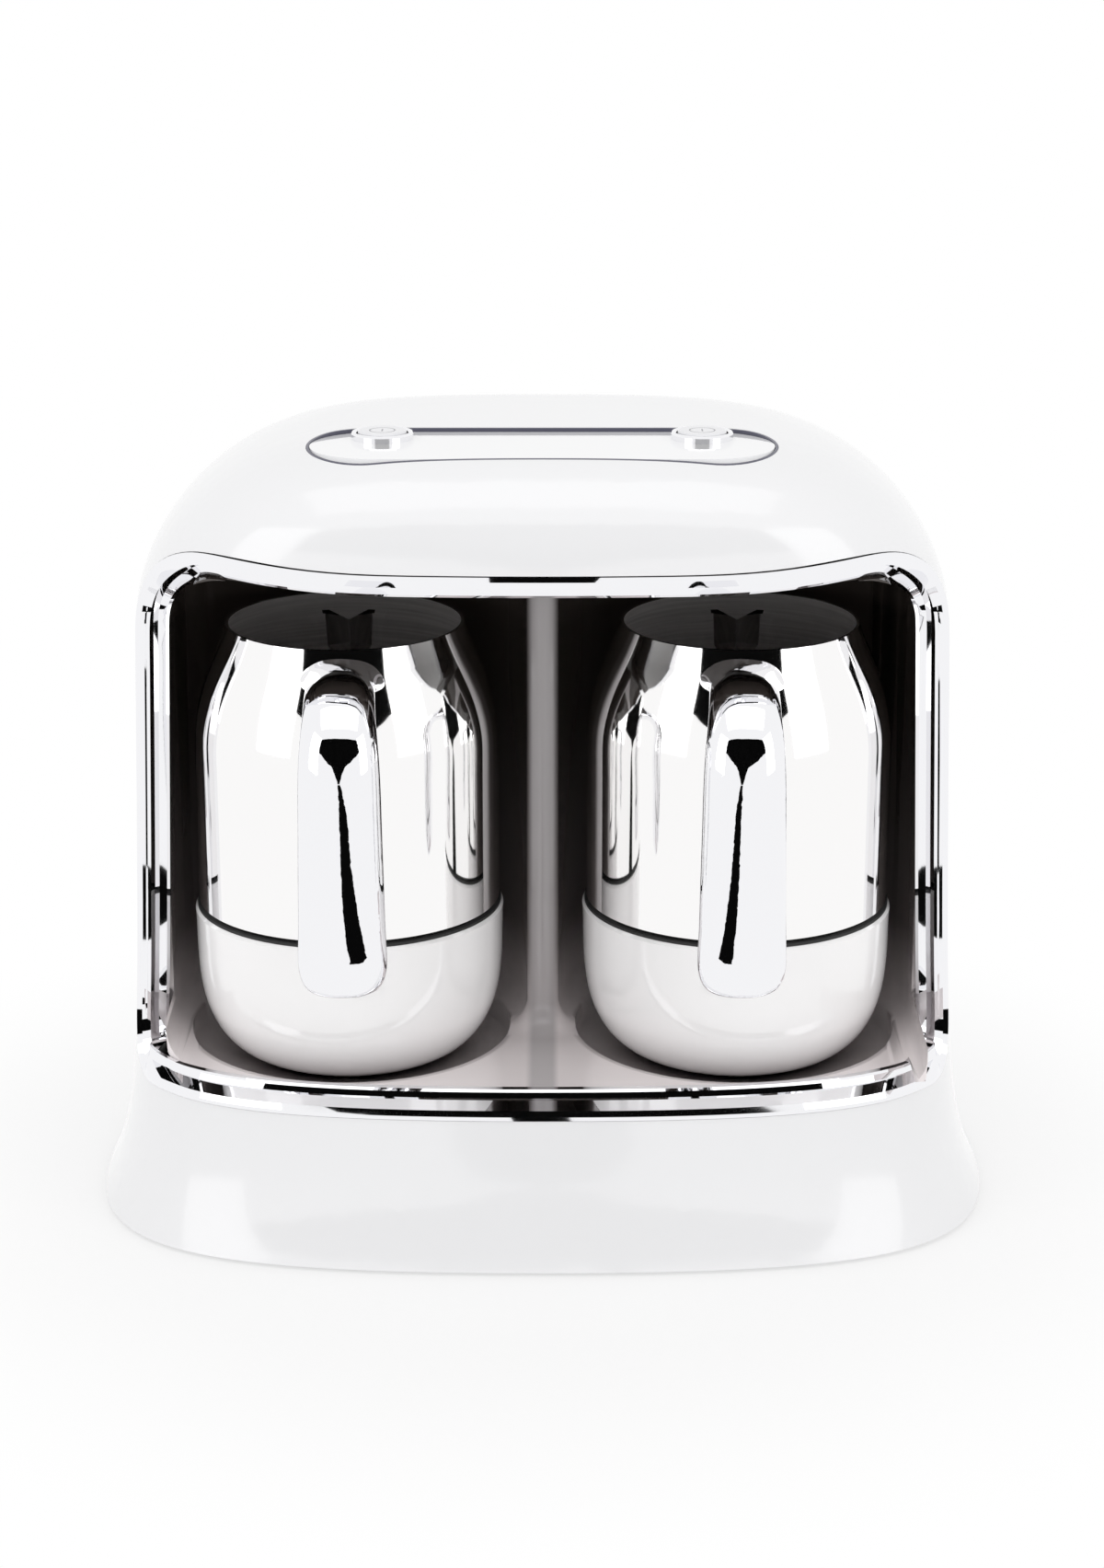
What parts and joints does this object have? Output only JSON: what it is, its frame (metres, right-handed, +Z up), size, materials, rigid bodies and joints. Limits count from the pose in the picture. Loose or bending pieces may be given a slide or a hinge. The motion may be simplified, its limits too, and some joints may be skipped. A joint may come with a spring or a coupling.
{
  "type": "electric turkish coffee maker",
  "caption": "Twin electric Turkish coffee maker with an arched white body, a chrome-framed bay and steel jugs that lift off their heated sockets.",
  "frame": {"origin": "middle of the object's footprint on the table", "axes": "+X to the right seen from the front, -Y towards the user, +Z up"},
  "size_m": [0.2754, 0.1738, 0.2395],
  "materials": {
    "white_gloss": "gloss",
    "dark_liner": "gloss",
    "chrome": "polished",
    "grey_plastic": "satin",
    "steel": "polished",
    "black_plastic": "matte",
    "rubber": "matte",
    "board": "satin",
    "brass": "polished",
    "aluminium": "cast",
    "lens": "gloss"
  },
  "bodies": {
    "housing": {"base_plate": "black_plastic", "base_screws": "steel", "board_screws": "steel", "capacitors": "steel", "cavity_liner": "dark_liner", "chrome_bezel": "chrome", "control_board": "board", "control_cable": "rubber", "cord_gland": "black_plastic", "gland_nut": "black_plastic", "heater_leads": "rubber", "indicator_lights": "lens", "left_button_ring": "chrome", "left_connector": "black_plastic", "left_contacts": "brass", "left_overflow_sensor": "black_plastic", "left_switch": "black_plastic", "mains_leads": "rubber", "outer_shell": "white_gloss", "power_board": "board", "rear_cover": "white_gloss", "rear_screws": "steel", "relays": "black_plastic", "right_button_ring": "chrome", "right_connector": "black_plastic", "right_contacts": "brass", "right_overflow_sensor": "black_plastic", "right_switch": "black_plastic", "rubber_feet": "rubber", "terminal_block": "black_plastic", "top_panel": "white_gloss", "top_panel_trim": "grey_plastic", "transformer": "steel"},
    "left_button": {"left_button": "grey_plastic", "left_plunger": "grey_plastic"},
    "right_button": {"right_button": "grey_plastic", "right_plunger": "grey_plastic"},
    "left_jug": {"left_jug_body": "steel", "left_jug_handle": "chrome", "left_handle_screws": "steel", "left_jug_cup": "white_gloss", "left_jug_cover": "black_plastic", "left_cover_screws": "steel", "left_heater_plate": "aluminium", "left_heater_element": "steel", "left_jug_socket": "black_plastic", "left_jug_thermostat": "steel", "left_jug_seal": "rubber"},
    "right_jug": {"right_jug_body": "steel", "right_jug_handle": "chrome", "right_handle_screws": "steel", "right_jug_cup": "white_gloss", "right_jug_cover": "black_plastic", "right_cover_screws": "steel", "right_heater_plate": "aluminium", "right_heater_element": "steel", "right_jug_socket": "black_plastic", "right_jug_thermostat": "steel", "right_jug_seal": "rubber"}
  },
  "joints": [
    {"name": "left_press", "type": "slide", "parent": "housing", "child": "left_button", "axis": [0, 0, -1], "range_m": [0, 0.001], "stiffness_N_per_m": 600},
    {"name": "right_press", "type": "slide", "parent": "housing", "child": "right_button", "axis": [0, 0, -1], "range_m": [0, 0.001], "stiffness_N_per_m": 600},
    {"name": "left_jug_lift", "type": "slide", "parent": "housing", "child": "left_jug", "axis": [0, 0, 1], "range_m": [0, 0.016]},
    {"name": "right_jug_lift", "type": "slide", "parent": "housing", "child": "right_jug", "axis": [0, 0, 1], "range_m": [0, 0.016]}
  ]
}
